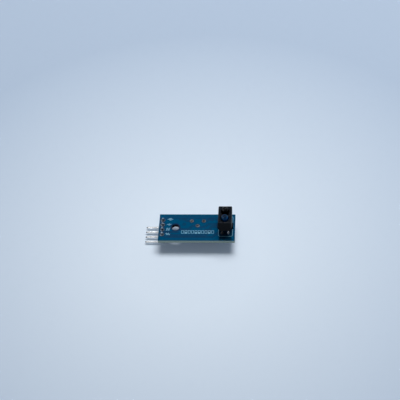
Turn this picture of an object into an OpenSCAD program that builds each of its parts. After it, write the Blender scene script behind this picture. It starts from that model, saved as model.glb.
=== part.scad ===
// Infrared line tracking sensor module: a reflective sensor on a small comparator board
// with a four pin header. All lengths are in millimetres.
// The board lies level, the sensor points up and the trimmer under the board carries it.
// X runs from the header end to the sensor end, Y across the board, Z up from the trimmer's face.

/* [Circuit board] */

// Length from the header end to the sensor end
board_l = 32; // [31:0.5:38]
// Width across the board
board_w = 14; // [14:0.5:20]
// Thickness of the laminate
board_t = 1.6; // [1.2:0.1:2]
// Diameter of the mounting hole
mount_d = 3.2; // [2.6:0.1:3.4]
// Distance from the board's middle to the mounting hole, towards the header
mount_back = 9; // [8.4:0.1:9.4]
// Height of the print above the board
ink_t = 0.03; // [0.02:0.01:0.05]
// Height of the tinned lands above the board
land_t = 0.04; // [0.03:0.01:0.06]

/* [Sensor] */

// Length of the housing across the board
sensor_l = 10.2; // [9.8:0.1:10.6]
// Width of the housing along the board
sensor_w = 5.7; // [5.5:0.1:6]
// Height of the housing's body above its clips
sensor_body_h = 4.6; // [4.2:0.1:4.7]
// Height of the clips below the body
sensor_stand = 2.35; // [2:0.05:2.6]
// Lean of the sensor away from the near edge, in degrees
sensor_lean = 6.9; // [0:0.1:12]
// Distance from the board's middle to the sensor's middle
sensor_out = 11.95; // [11.6:0.05:12.2]
// Offset of the sensor's foot towards the far edge
sensor_off = 0.55; // [0.3:0.05:0.6]
// Width of the two wells along the board
well_d = 3.7; // [3.5:0.05:3.75]
// Distance between the middles of the two wells
well_pitch = 4.6; // [4.55:0.05:4.65]
// Diameter of the emitter's and the detector's dome
dome_d = 2.9; // [2.6:0.1:3.3]
// Height of a dome's top above the housing's rim
dome_rise = 1.8; // [0.8:0.1:2]
// Radius of the housing's rounded rim
rim_r = 0.45; // [0.2:0.05:0.5]
// Reach of a clip's barb beyond the housing's side
barb_reach = 0.5; // [0.2:0.05:0.6]

/* [Header] */

// Number of pins
pins = 4; // [4:1:4]
// Distance between neighbouring pins
pitch = 2.54; // [2.54:0.01:2.54]
// Width of a square pin
pin_w = 0.64; // [0.6:0.01:0.66]
// Distance from the board's end to the pins' holes
header_in = 1.5; // [1.4:0.05:1.7]
// Reach of the pins beyond the board's end
pin_reach = 5.9; // [5:0.1:8]
// Depth of the bent pins' axis under the board's upper face
pin_drop = 5.17; // [5.1:0.01:5.4]

/* [Trimmer] */

// Size of the housing along the board
trim_l = 6.6; // [6.4:0.1:6.8]
// Size of the housing across the board
trim_w = 7; // [6.8:0.1:7.2]
// Height from the board to the housing's face
trim_h = 4.5; // [4.4:0.05:5.2]
// Diameter of the rotor's head
rotor_d = 3.8; // [3.4:0.1:4]
// Angle that the rotor is turned to, in degrees
rotor_turn = 0; // [-120:5:120]

/* [Surface mounted pieces] */

// Length of a chip resistor or capacitor
chip_l = 1.6; // [1.5:0.05:1.7]
// Width of a chip resistor or capacitor
chip_w = 0.8; // [0.75:0.05:0.9]
// Height of a chip resistor
chip_h = 0.45; // [0.4:0.05:0.55]
// Height of a chip capacitor
capacitor_h = 0.8; // [0.6:0.05:0.9]
// Length of a lamp
lamp_l = 2; // [1.9:0.05:2.1]
// Width of a lamp
lamp_w = 1.25; // [1.1:0.05:1.3]

/* [Output] */

// Piece to draw

/* [Hidden] */

$fn = 64;

// Small overrun of a cut beyond the face that it leaves
over = 0.2;

// The part's frame: its box is centred on the origin and the trimmer's face is at height 0
board_x = pin_reach / 2;
under_z = trim_h;
top_z = under_z + board_t;
land_top = top_z + land_t;
land_under = under_z - land_t;

// Colours
board_colour = [0.02, 0.22, 0.36];
ink_colour = [0.86, 0.89, 0.92];
tin_colour = [0.72, 0.73, 0.74];
black_colour = [0.06, 0.06, 0.07];
detector_colour = [0.03, 0.03, 0.04];
emitter_colour = [0.10, 0.20, 0.42];
pin_colour = [0.78, 0.76, 0.70];
trimmer_colour = [0.05, 0.20, 0.60];
rotor_colour = [0.90, 0.90, 0.88];
ceramic_colour = [0.88, 0.87, 0.82];
resin_colour = [0.10, 0.16, 0.30];
wiper_colour = [0.80, 0.66, 0.40];
lamp_colour = [0.85, 0.88, 0.80];
capacitor_colour = [0.62, 0.50, 0.36];
die_colour = [0.45, 0.42, 0.40];

// Holes in the board
header_x = header_in - board_l / 2;
header_bore_r = 0.5;
trim_x = 0.25;
trim_y = 2.1;
trim_bore_r = 0.42;
lead_pitch = 2.54;
lead_span = 7.1;
lead_bore_r = 0.45;
land_r = 0.95;
small_land_r = 0.85;
lead_land_r = 0.72;

function header_y(i) = ((pins - 1) / 2 - i) * pitch;
function trim_pin(i) = [trim_x + (i - 1) * pitch, trim_y + (i == 1 ? -1 : 1) * pitch / 2];
function lead_at(i, side) = [sensor_out + (i - 0.5) * lead_pitch, sensor_off + side * lead_span / 2];

header_spots = [for (i = [0 : pins - 1]) [header_x, header_y(i)]];
trim_spots = [for (i = [0 : 2]) trim_pin(i)];
lead_spots = [for (side = [-1, 1], i = [0, 1]) lead_at(i, side)];

module on_board() {
    translate([board_x, 0, 0]) children();
}

module at_spots(spots, z) {
    for (p = spots)
        translate([p[0], p[1], z]) children();
}

// A rectangle with round corners, centred
module round_rect(l, w, r) {
    square([l - 2 * r, w], center = true);
    square([l, w - 2 * r], center = true);
    for (x = [-1, 1], y = [-1, 1])
        translate([x * (l / 2 - r), y * (w / 2 - r)]) circle(r = r);
}

// A square bar between two heights
module post(w, z0, z1) {
    translate([-w / 2, -w / 2, z0]) cube([w, w, z1 - z0]);
}

// Circuit board

module circuit_board() {
    color(board_colour) on_board() difference() {
        translate([-board_l / 2, -board_w / 2, under_z]) cube([board_l, board_w, board_t]);
        translate([-mount_back, 0, under_z - over]) cylinder(r = mount_d / 2, h = board_t + 2 * over);
        at_spots(header_spots, under_z - over) cylinder(r = header_bore_r, h = board_t + 2 * over);
        at_spots(trim_spots, under_z - over) cylinder(r = trim_bore_r, h = board_t + 2 * over);
        at_spots(lead_spots, under_z - over) cylinder(r = lead_bore_r, h = board_t + 2 * over);
    }
}

module ring(r, bore, z) {
    translate([0, 0, z]) difference() {
        cylinder(r = r, h = land_t);
        translate([0, 0, -over]) cylinder(r = bore, h = land_t + 2 * over);
    }
}

module rings(z) {
    at_spots(header_spots, 0) ring(land_r, header_bore_r, z);
    at_spots(trim_spots, 0) ring(small_land_r, trim_bore_r, z);
    at_spots(lead_spots, 0) ring(lead_land_r, lead_bore_r, z);
}

module top_lands() {
    color(tin_colour) on_board() rings(top_z);
}

// Print: the sensor's outline and a row of tick boxes

outline_l = 6.1;
outline_w = 10.8;
outline_r = 0.8;
outline_line = 0.18;
inner_l = outline_l - 2 * outline_line;
inner_w = outline_w - 2 * outline_line;
outline_x = 12.05;
outline_gap = 3.2;
box_count = 10;
box_pitch = 1.4;
box_l = 1.05;
box_w = 1.7;
box_line = 0.17;
box_fill_w = 0.6;
code_x = 0.4;
code_y = -2.5;
code_filled = [1, 4, 5, 8];

module sensor_outline_print() {
    color(ink_colour) on_board() translate([outline_x, sensor_off, top_z]) linear_extrude(height = ink_t)
        difference() {
            round_rect(outline_l, outline_w, outline_r);
            round_rect(inner_l, inner_w, outline_r - outline_line);
            square([outline_l + over, outline_gap], center = true);
        }
}

module tick_box(filled) {
    difference() {
        square([box_l, box_w], center = true);
        square([box_l - 2 * box_line, box_w - 2 * box_line], center = true);
    }
    if (filled)
        translate([0, -(box_w - box_fill_w) / 2]) square([box_l, box_fill_w], center = true);
}

module code_print() {
    color(ink_colour) on_board() translate([code_x, code_y, top_z]) linear_extrude(height = ink_t)
        for (i = [0 : box_count - 1])
            translate([(i - (box_count - 1) / 2) * box_pitch, 0]) tick_box(len(search(i, code_filled)) > 0);
}

// Sensor, drawn upright about its foot and then leaned back

body_z0 = sensor_stand;
body_z1 = sensor_stand + sensor_body_h;
body_corner_r = 0.8;
lip_h = 1.25;
well_stretch = 0.5;
saddle_h = 0.7;
saddle_l = 3.2;
lip_z = body_z1 - lip_h;
pocket_w = 4.1;
pocket_l = 4.3;
epoxy_w = 4.0;
epoxy_l = 4.16;
side_x = sensor_w / 2;
clip_t = 0.7;
clip_w = 2.4;
clip_root = 0.5;
barb_z = 0.95;
barb_h = 0.35;
clip_below = 0.5;
end_chamfer_h = 1.3;
end_chamfer_w = 0.7;

module leaned() {
    on_board() translate([sensor_out, sensor_off, top_z]) rotate([-sensor_lean, 0, 0]) children();
}

// The clip's side view: a leg with a barb near its foot
module clip_profile() {
    polygon([
        [side_x - clip_t, body_z0 + clip_root],
        [side_x, body_z0 + clip_root],
        [side_x, barb_z],
        [side_x + barb_reach, barb_z - over],
        [side_x + barb_reach, barb_z - over - barb_h],
        [side_x + over / 2, -clip_below],
        [side_x - clip_t, -clip_below]
    ]);
}

module clip() {
    translate([0, clip_w / 2, 0]) rotate([90, 0, 0]) linear_extrude(height = clip_w) clip_profile();
}

// The two rounded corners of a rim, at the top of a side view of the given half width
module rim_corners(half) {
    for (s = [-1, 1])
        translate([s * (half - rim_r), body_z1 - rim_r]) circle(r = rim_r);
}

// The body's end view, narrower at its foot and with a rounded rim
module body_end_profile() {
    rim_corners(side_x);
    polygon([
        [rim_r - side_x, body_z1],
        [side_x - rim_r, body_z1],
        [side_x, body_z1 - rim_r],
        [side_x, body_z0 + end_chamfer_h],
        [side_x - end_chamfer_w, body_z0],
        [end_chamfer_w - side_x, body_z0],
        [-side_x, body_z0 + end_chamfer_h],
        [-side_x, body_z1 - rim_r]
    ]);
}

// The body's long view, with its rounded rim
module body_long_profile() {
    end_y = sensor_l / 2;
    rim_corners(end_y);
    polygon([
        [-end_y, body_z0],
        [end_y, body_z0],
        [end_y, body_z1 - rim_r],
        [end_y - rim_r, body_z1],
        [rim_r - end_y, body_z1],
        [-end_y, body_z1 - rim_r]
    ]);
}

// A well in plan: round, and stretched a little across the board
module well_plan() {
    square([well_d, well_stretch], center = true);
    for (s = [-1, 1])
        translate([0, s * well_stretch / 2]) circle(r = well_d / 2);
}

module sensor_shell() {
    difference() {
        union() {
            intersection() {
                translate([0, 0, body_z0]) linear_extrude(height = sensor_body_h)
                    round_rect(sensor_w, sensor_l, body_corner_r);
                translate([0, sensor_l, 0]) rotate([90, 0, 0]) linear_extrude(height = 2 * sensor_l)
                    body_end_profile();
                translate([-sensor_w, 0, 0]) rotate([90, 0, 90]) linear_extrude(height = 2 * sensor_w)
                    body_long_profile();
            }
            translate([-side_x, -clip_w, body_z0]) cube([sensor_w, 2 * clip_w, end_chamfer_h]);
            clip();
            mirror([1, 0, 0]) clip();
        }
        for (s = [-1, 1]) {
            translate([-pocket_w / 2, s * well_pitch / 2 - pocket_l / 2, body_z0 - over])
                cube([pocket_w, pocket_l, lip_z - body_z0 + over]);
            translate([0, s * well_pitch / 2, lip_z - over]) linear_extrude(height = lip_h + 2 * over)
                well_plan();
        }
        translate([-saddle_l / 2, -well_pitch / 2, body_z1 - saddle_h])
            cube([saddle_l, well_pitch, saddle_h + over]);
    }
}

module sensor_housing() {
    color(black_colour) difference() {
        leaned() sensor_shell();
        on_board() translate([0, -board_w / 2, top_z - board_t]) cube([board_l, board_w, board_t]);
    }
}

dome_r = dome_d / 2;
dome_z = body_z1 + dome_rise - dome_r;

// A block that fills the pocket, with a round dome that stands up through the well
module eye_resin(side) {
    translate([0, side * well_pitch / 2, 0]) {
        translate([-epoxy_w / 2, -epoxy_l / 2, body_z0]) cube([epoxy_w, epoxy_l, lip_z - body_z0]);
        translate([0, 0, lip_z - over]) rotate_extrude() {
            square([dome_r, dome_z - lip_z + over]);
            translate([0, dome_z - lip_z + over]) intersection() {
                circle(r = dome_r);
                square([dome_r, dome_r]);
            }
        }
    }
}

// The resin is cast round its die and the upper ends of its leads
module eye(side) {
    difference() {
        leaned() eye_resin(side);
        lead_metal(0, side);
        lead_metal(1, side);
        leaned() die(side);
    }
}

module emitter() {
    color(emitter_colour) eye(-1);
}

module detector() {
    color(detector_colour) eye(1);
}

lead_w = 0.5;
lead_tail = 1;
lead_elbow = 0.35;
lead_root = 3.2;
lead_top = 4.7;
seat_w = 1.1;
seat_h = 0.3;
seat_z1 = 4.6;
die_w = 0.5;
die_h = 0.25;

// A die on the first lead's seat, under the middle of the dome
module die(side) {
    translate([-die_w / 2, side * well_pitch / 2 - die_w / 2, seat_z1]) cube([die_w, die_w, die_h]);
}

module emitter_die() {
    color(die_colour) leaned() die(-1);
}

module detector_die() {
    color(die_colour) leaned() die(1);
}

// The plate at the top of the first lead, from the lead's middle to under the dome
module die_seat(side) {
    from_y = well_pitch / 2 - seat_w / 2;
    seat_y = lead_root - from_y;
    mirror([0, side < 0 ? 1 : 0, 0]) translate([-lead_pitch / 2, from_y, seat_z1 - seat_h])
        cube([lead_pitch / 2 + seat_w / 2, seat_y, seat_h]);
}

// A point of the leaned sensor, seen from the side: distance across the board and height above it
function leaned_at(across, up) = [
    sensor_off + across * cos(sensor_lean) + up * sin(sensor_lean),
    up * cos(sensor_lean) - across * sin(sensor_lean)
];

// A lead's side view: upright through the board, then bent up into its eye
module lead_profile(side) {
    foot = sensor_off + side * lead_span / 2;
    polygon([
        [foot - lead_w / 2, -board_t - lead_tail],
        [foot + lead_w / 2, -board_t - lead_tail],
        [foot + lead_w / 2, lead_elbow],
        leaned_at(side * lead_root + lead_w / 2, body_z0),
        leaned_at(side * lead_root + lead_w / 2, lead_top),
        leaned_at(side * lead_root - lead_w / 2, lead_top),
        leaned_at(side * lead_root - lead_w / 2, body_z0),
        [foot - lead_w / 2, lead_elbow]
    ]);
}

module lead_metal(i, side) {
    on_board() translate([sensor_out + (i - 0.5) * lead_pitch - lead_w / 2, 0, top_z])
        rotate([90, 0, 90]) linear_extrude(height = lead_w) lead_profile(side);
    if (i == 0)
        leaned() die_seat(side);
}

module sensor_lead(i, side) {
    color(pin_colour) lead_metal(i, side);
}

// Solder: a mound with a square passage for the pin

module mound(r, h, w) {
    neck = w * 0.75;
    difference() {
        rotate_extrude() polygon([
            [0, 0],
            [r, 0],
            [r * 0.96, h * 0.18],
            [r * 0.82, h * 0.45],
            [(r + neck) / 2.1, h * 0.75],
            [neck, h],
            [0, h]
        ]);
        post(w, -over, h + over);
    }
}

mound_r = 0.92;
mound_h = 1.0;
small_mound_r = 0.8;
small_mound_h = 0.45;
lead_mound_r = 0.68;
lead_mound_h = 0.8;

pin_stub = 0.15;

module mound_over(p, r, h, w) {
    color(tin_colour) on_board() translate([p[0], p[1], land_top]) mound(r, h, w);
}

module mound_under(p, r, h, w) {
    color(tin_colour) on_board() translate([p[0], p[1], land_under]) mirror([0, 0, 1]) mound(r, h, w);
}

module sensor_joint(i, side) {
    mound_under(lead_at(i, side), lead_mound_r, lead_mound_h, lead_w);
}

// Header: a block under the board, and pins bent outwards below it

block_w = pitch;
block_h = 2.5;
block_top = land_under;
block_z0 = block_top - block_h;
block_bevel = 0.35;
pin_z = top_z - pin_drop;
bend_r = 0.9;
pin_head = land_top + mound_h + pin_stub;
pin_tip = 0.7;
pin_tip_w = 0.3;

// One bay of the block, eight sided as seen from above
module block_bay() {
    a = block_w / 2;
    b = a - block_bevel;
    polygon([[-b, -a], [b, -a], [a, -b], [a, b], [b, a], [-b, a], [-a, b], [-a, -b]]);
}

module header_block() {
    color(black_colour) on_board() difference() {
        at_spots(header_spots, block_z0) linear_extrude(height = block_h) block_bay();
        at_spots(header_spots, 0) post(pin_w, block_z0 - over, block_top + over);
    }
}

// A pin's side view, about the middle of its upright
module pin_side() {
    out = header_x + board_l / 2 + pin_reach;
    translate([-pin_w / 2, pin_z + bend_r]) square([pin_w, pin_head - pin_z - bend_r]);
    translate([-bend_r, pin_z + bend_r]) intersection() {
        difference() {
            circle(r = bend_r + pin_w / 2);
            circle(r = bend_r - pin_w / 2);
        }
        translate([0, -2 * bend_r]) square([2 * bend_r, 2 * bend_r]);
    }
    polygon([
        [-bend_r, pin_z - pin_w / 2],
        [-bend_r, pin_z + pin_w / 2],
        [pin_tip - out, pin_z + pin_w / 2],
        [-out, pin_z + pin_tip_w / 2],
        [-out, pin_z - pin_tip_w / 2],
        [pin_tip - out, pin_z - pin_w / 2]
    ]);
}

// A pin's plan, which narrows its tip
module pin_plan() {
    out = header_x + board_l / 2 + pin_reach;
    polygon([
        [pin_w / 2, -pin_w / 2],
        [pin_w / 2, pin_w / 2],
        [pin_tip - out, pin_w / 2],
        [-out, pin_tip_w / 2],
        [-out, -pin_tip_w / 2],
        [pin_tip - out, -pin_w / 2]
    ]);
}

module header_joint(i) {
    mound_over(header_spots[i], mound_r, mound_h, pin_w);
}

module header_pin(i) {
    color(pin_colour) on_board() translate([header_x, header_y(i), 0]) intersection() {
        translate([0, pin_w, 0]) rotate([90, 0, 0]) linear_extrude(height = 2 * pin_w) pin_side();
        linear_extrude(height = pin_head + over) pin_plan();
    }
}

// Trimmer: a housing open at its back, a rotor in a chamber, and a sealed element

trim_foot = 0.4;
trim_foot_w = 0.7;
trim_bevel = 0.5;
trim_back = trim_h - trim_foot;
play = 0.05;
face_recess = 0.1;
head_h = 1.3;
flange_r = 2.3;
flange_h = 0.8;
chamber_r = 2.8;
chamber_z0 = head_h;
flange_z0 = chamber_z0 + play;
tab_w = 1;
tab_reach = 2.7;
stop_r = 2.4;
stop_angle = 92;
wiper_h = 0.3;
wiper_r = 1.8;
wiper_bore_r = 0.8;
element_z0 = flange_z0 + flange_h + wiper_h + play;
element_h = 0.6;
backfill_z0 = element_z0 + element_h;
cavity_l = 5.8;
cavity_w = 5.6;
slot_l = 2.8;
slot_w = 0.65;
slot_h = 0.8;
arrow_w = 1.4;
arrow_l = 0.7;
trim_pin_w = 0.46;

module trim_outline() {
    a = trim_l / 2;
    b = trim_w / 2;
    c = trim_bevel;
    polygon([
        [c - a, -b],
        [a - c, -b],
        [a, c - b],
        [a, b - c],
        [a - c, b],
        [c - a, b],
        [-a, b - c],
        [-a, c - b]
    ]);
}

module at_trimmer() {
    on_board() translate([trim_x, trim_y, 0]) children();
}

// A plate that fills the cavity at the housing's back
module cavity_plate(z0, z1) {
    translate([-cavity_l / 2, -cavity_w / 2, z0]) cube([cavity_l, cavity_w, z1 - z0]);
}

// The fixed stop that ends the rotor's travel, opposite its tab
module rotor_stop() {
    translate([0, 0, chamber_z0 - over]) rotate([0, 0, -90 - stop_angle / 2])
        rotate_extrude(angle = stop_angle) translate([stop_r, 0])
            square([chamber_r + over - stop_r, element_z0 - chamber_z0 + over]);
}

module housing_feet() {
    for (x = [-1, 1], y = [-1, 1])
        translate([
            x * (trim_l / 2 - trim_foot_w / 2 - trim_bevel) - trim_foot_w / 2,
            y * (trim_w - trim_foot_w) / 2 - trim_foot_w / 2,
            trim_back - over
        ]) cube([trim_foot_w, trim_foot_w, trim_foot + over]);
}

module trimmer_housing() {
    color(trimmer_colour) at_trimmer() {
        difference() {
            linear_extrude(height = trim_back) trim_outline();
            translate([0, 0, -over]) cylinder(r = rotor_d / 2 + play, h = head_h + 2 * over);
            translate([0, 0, chamber_z0]) cylinder(r = chamber_r, h = trim_back);
            cavity_plate(element_z0, trim_back + over);
        }
        rotor_stop();
        housing_feet();
    }
}

module turned() {
    at_trimmer() rotate([0, 0, rotor_turn]) children();
}

module trimmer_rotor() {
    color(rotor_colour) turned() difference() {
        union() {
            translate([0, 0, face_recess]) cylinder(r = rotor_d / 2, h = head_h);
            translate([0, 0, flange_z0]) cylinder(r = flange_r, h = flange_h);
            translate([-tab_w / 2, 0, flange_z0]) cube([tab_w, tab_reach, flange_h]);
        }
        translate([0, 0, face_recess - over]) linear_extrude(height = slot_h + over) {
            square([slot_l, slot_w], center = true);
            square([slot_w, slot_l], center = true);
            translate([0, slot_l / 2 - arrow_l])
                polygon([[-arrow_w / 2, 0], [arrow_w / 2, 0], [0, arrow_l]]);
        }
    }
}

module trimmer_wiper() {
    color(wiper_colour) turned() translate([0, 0, flange_z0 + flange_h]) difference() {
        cylinder(r = wiper_r, h = wiper_h);
        translate([0, 0, -over]) cylinder(r = wiper_bore_r, h = wiper_h + 2 * over);
    }
}

module trimmer_element() {
    color(ceramic_colour) at_trimmer() cavity_plate(element_z0, backfill_z0);
}

module trimmer_backfill() {
    color(resin_colour) difference() {
        at_trimmer() cavity_plate(backfill_z0, trim_back);
        on_board() at_spots(trim_spots, 0) post(trim_pin_w, backfill_z0 - over, trim_back + over);
    }
}

module trimmer_pin(i) {
    color(pin_colour) on_board() at_spots([trim_pin(i)], 0)
        post(trim_pin_w, backfill_z0, land_top + small_mound_h + pin_stub);
}

module trimmer_joint(i) {
    mound_over(trim_spots[i], small_mound_r, small_mound_h, trim_pin_w);
}

// Comparator: an eight lead package under the board

so_x = 6.9;
so_y = -3.3;
so_l = 4.9;
so_w = 3.9;
so_h = 1.45;
so_gap = 0.15;
so_draft = 0.18;
so_pitch = 1.27;
so_span = 6;
so_lead_w = 0.42;
so_lead_t = 0.2;
so_foot = 0.65;
so_mark_d = 0.7;
so_mark_t = 0.05;
so_top = under_z - so_gap;
so_mid = so_top - so_h / 2;

// A block whose four sides slope to its middle height
module drafted(l, w, h, d) {
    intersection() {
        translate([0, w, 0]) rotate([90, 0, 0]) linear_extrude(height = 2 * w) drafted_side(l, h, d);
        translate([-l, 0, 0]) rotate([90, 0, 90]) linear_extrude(height = 2 * l) drafted_side(w, h, d);
    }
}

module drafted_side(l, h, d) {
    polygon([
        [d - l / 2, -h / 2],
        [l / 2 - d, -h / 2],
        [l / 2, -so_lead_t / 2],
        [l / 2, so_lead_t / 2],
        [l / 2 - d, h / 2],
        [d - l / 2, h / 2],
        [-l / 2, so_lead_t / 2],
        [-l / 2, -so_lead_t / 2]
    ]);
}

module comparator_body() {
    color(black_colour) on_board() translate([so_x, so_y, so_mid]) difference() {
        drafted(so_l, so_w, so_h, so_draft);
        translate([so_mark_d - so_l / 2 + over, so_w / 2 - so_mark_d - over, -so_h / 2 - over])
            cylinder(r = so_mark_d / 2, h = over + so_mark_t);
    }
}

// A lead's side view, from the body's side up to its land
module gull_wing() {
    z1 = land_under - so_mid;
    t = so_lead_t;
    y0 = so_w / 2;
    y1 = so_span / 2 - so_foot;
    y2 = so_span / 2;
    polygon([
        [y0, -t / 2],
        [y1, -t / 2],
        [y1 + t * 0.9, z1 - t],
        [y2, z1 - t],
        [y2, z1],
        [y1 - t * 0.2, z1],
        [y1 - t * 0.9, t / 2],
        [y0, t / 2]
    ]);
}

module comparator_lead(i) {
    side = i < 4 ? -1 : 1;
    x = (i < 4 ? i - 1.5 : 5.5 - i) * so_pitch;
    color(tin_colour) on_board() translate([so_x + x - so_lead_w / 2, so_y, so_mid])
        mirror([0, side < 0 ? 1 : 0, 0]) rotate([90, 0, 90]) linear_extrude(height = so_lead_w) gull_wing();
}

// Chips and lamps: middle, turn and height of each one

end_l = 0.3;
lamp_end_l = 0.35;
lamp_base_h = 0.35;
lamp_lens_h = 0.45;
lamp_lens_in = 0.35;
lamp_lens_taper = 0.15;

resistor_spots = [
    [-8.6, 5.4, 0],
    [-5.6, 5.4, 0],
    [-8.6, -5.4, 0],
    [5.6, 5.4, 90],
    [7.4, 5.4, 90],
    [-2.6, -5.6, 0]
];
capacitor_spots = [[5.5, 2.1, 90], [1.4, -5.6, 0]];
lamp_spots = [[-4.9, -2.9, 90], [-4.9, 2.5, 90]];
chip_spots = concat(resistor_spots, capacitor_spots);

module at_chip(p) {
    on_board() translate([p[0], p[1], land_under]) rotate([0, 0, p[2]]) mirror([0, 0, 1]) children();
}

module resistor(i) {
    color(black_colour) at_chip(resistor_spots[i])
        translate([end_l - chip_l / 2, -chip_w / 2, 0]) cube([chip_l - 2 * end_l, chip_w, chip_h]);
}

module capacitor(i) {
    color(capacitor_colour) at_chip(capacitor_spots[i])
        translate([end_l - chip_l / 2, -chip_w / 2, 0]) cube([chip_l - 2 * end_l, chip_w, capacitor_h]);
}

// A lamp's side view: a flat base with a sloping lens on it
module lamp_profile() {
    a = lamp_l / 2 - lamp_end_l;
    b = lamp_l / 2 - lamp_end_l - lamp_lens_taper;
    top = lamp_base_h + lamp_lens_h;
    translate([-a, 0]) square([2 * a, lamp_base_h]);
    polygon([[-a, lamp_base_h], [a, lamp_base_h], [b, top], [-b, top]]);
}

module lamp(i) {
    color(lamp_colour) at_chip(lamp_spots[i])
        translate([0, lamp_w / 2, 0]) rotate([90, 0, 0]) linear_extrude(height = lamp_w) lamp_profile();
}

module end_pair(p, l, w, end, h) {
    at_chip(p) for (s = [-1, 1])
        translate([s * (l - end) / 2 - end / 2, -w / 2, 0]) cube([end, w, h]);
}

module chip_ends() {
    color(tin_colour) {
        for (p = resistor_spots) end_pair(p, chip_l, chip_w, end_l, chip_h);
        for (p = capacitor_spots) end_pair(p, chip_l, chip_w, end_l, capacitor_h);
        for (p = lamp_spots) end_pair(p, lamp_l, lamp_w, lamp_end_l, lamp_base_h);
    }
}

fillet = 0.3;

// A wedge of solder against each end of a chip
module fillet_pair(p, l, w) {
    at_chip(p) for (s = [0, 1]) mirror([s, 0, 0])
        translate([l / 2, w / 2, 0]) rotate([90, 0, 0]) linear_extrude(height = w)
            polygon([[0, 0], [fillet, 0], [0, fillet]]);
}

module lead_fillet(i) {
    side = i < 4 ? -1 : 1;
    x = (i < 4 ? i - 1.5 : 5.5 - i) * so_pitch;
    on_board() translate([so_x + x - so_lead_w / 2, so_y, land_under])
        mirror([0, side < 0 ? 1 : 0, 0]) mirror([0, 0, 1]) translate([0, so_span / 2, 0])
            rotate([90, 0, 90]) linear_extrude(height = so_lead_w)
                polygon([[0, 0], [fillet, 0], [0, so_lead_t]]);
}

module chip_solder() {
    color(tin_colour) {
        for (p = chip_spots) fillet_pair(p, chip_l, chip_w);
        for (p = lamp_spots) fillet_pair(p, lamp_l, lamp_w);
        for (i = [0 : 7]) lead_fillet(i);
    }
}

// Lands under the board: rings, and a pair of pads for each chip

pad_out = 0.45;
pad_in = 0.15;

module pad_pair(p, l, w, end) {
    pad_l = end + pad_in + pad_out;
    at_chip(p) for (s = [0, 1]) mirror([s, 0, 0])
        translate([l / 2 - end - pad_in, -w / 2 - pad_in, -land_t]) cube([pad_l, w + 2 * pad_in, land_t]);
}

module lead_pad(i) {
    side = i < 4 ? -1 : 1;
    x = (i < 4 ? i - 1.5 : 5.5 - i) * so_pitch;
    on_board() translate([so_x + x - so_lead_w / 2 - pad_in / 2, so_y, land_under])
        mirror([0, side < 0 ? 1 : 0, 0]) translate([0, so_span / 2 - so_foot - pad_in, 0])
            cube([so_lead_w + pad_in, so_foot + pad_in + pad_out, land_t]);
}

module bottom_lands() {
    color(tin_colour) {
        on_board() rings(land_under);
        for (p = chip_spots) pad_pair(p, chip_l, chip_w, end_l);
        for (p = lamp_spots) pad_pair(p, lamp_l, lamp_w, lamp_end_l);
        for (i = [0 : 7]) lead_pad(i);
    }
}

circuit_board();
top_lands();
bottom_lands();
sensor_outline_print();
code_print();
sensor_housing();
emitter();
detector();
emitter_die();
detector_die();
sensor_lead(0, -1);  // emitter_lead_1
sensor_lead(1, -1);  // emitter_lead_2
sensor_lead(0, 1);  // detector_lead_1
sensor_lead(1, 1);  // detector_lead_2
sensor_joint(0, -1);  // emitter_joint_1
sensor_joint(1, -1);  // emitter_joint_2
sensor_joint(0, 1);  // detector_joint_1
sensor_joint(1, 1);  // detector_joint_2
header_block();
header_pin(0);  // header_pin_1
header_pin(1);  // header_pin_2
header_pin(2);  // header_pin_3
header_pin(3);  // header_pin_4
header_joint(0);  // header_joint_1
header_joint(1);  // header_joint_2
header_joint(2);  // header_joint_3
header_joint(3);  // header_joint_4
trimmer_housing();
trimmer_rotor();
trimmer_wiper();
trimmer_element();
trimmer_backfill();
trimmer_pin(0);  // trimmer_pin_1
trimmer_pin(1);  // trimmer_pin_2
trimmer_pin(2);  // trimmer_pin_3
trimmer_joint(0);  // trimmer_joint_1
trimmer_joint(1);  // trimmer_joint_2
trimmer_joint(2);  // trimmer_joint_3
comparator_body();
comparator_lead(0);  // comparator_lead_1
comparator_lead(1);  // comparator_lead_2
comparator_lead(2);  // comparator_lead_3
comparator_lead(3);  // comparator_lead_4
comparator_lead(4);  // comparator_lead_5
comparator_lead(5);  // comparator_lead_6
comparator_lead(6);  // comparator_lead_7
comparator_lead(7);  // comparator_lead_8
lamp(0);  // power_lamp
lamp(1);  // signal_lamp
capacitor(0);  // capacitor_1
capacitor(1);  // capacitor_2
resistor(0);  // resistor_1
resistor(1);  // resistor_2
resistor(2);  // resistor_3
resistor(3);  // resistor_4
resistor(4);  // resistor_5
resistor(5);  // resistor_6
chip_ends();
chip_solder();
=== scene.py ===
"""Looks of an infrared line tracking sensor module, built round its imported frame.

The module lies on the face of its trimmer. Lengths in the functions below are millimetres of the board's own
frame: x runs from the header end to the sensor end, y across the board, with 0, 0 at the board's middle, and z
is the height above the table. They become metres where a mesh is made. Materials read the object's own frame,
whose x is BOARD_X more, in metres.
"""

import math

import bpy
import numpy as np
from bpy.props import FloatProperty, FloatVectorProperty, IntProperty, PointerProperty
from mathutils import Matrix, Vector


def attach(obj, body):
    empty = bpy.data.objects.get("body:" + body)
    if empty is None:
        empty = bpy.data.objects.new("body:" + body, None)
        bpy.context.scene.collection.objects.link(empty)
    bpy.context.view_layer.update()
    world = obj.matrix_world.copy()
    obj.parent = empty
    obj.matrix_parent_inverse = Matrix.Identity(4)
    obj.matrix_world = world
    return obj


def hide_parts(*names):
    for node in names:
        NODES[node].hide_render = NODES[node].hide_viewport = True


bl_info = {
    "name": "Line tracking sensor module",
    "version": (1, 0, 0),
    "blender": (4, 5, 0),
    "location": "View3D > Sidebar > Line sensor",
    "description": "Builds the looks of a small infrared line tracking sensor module",
    "category": "Object",
}

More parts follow.
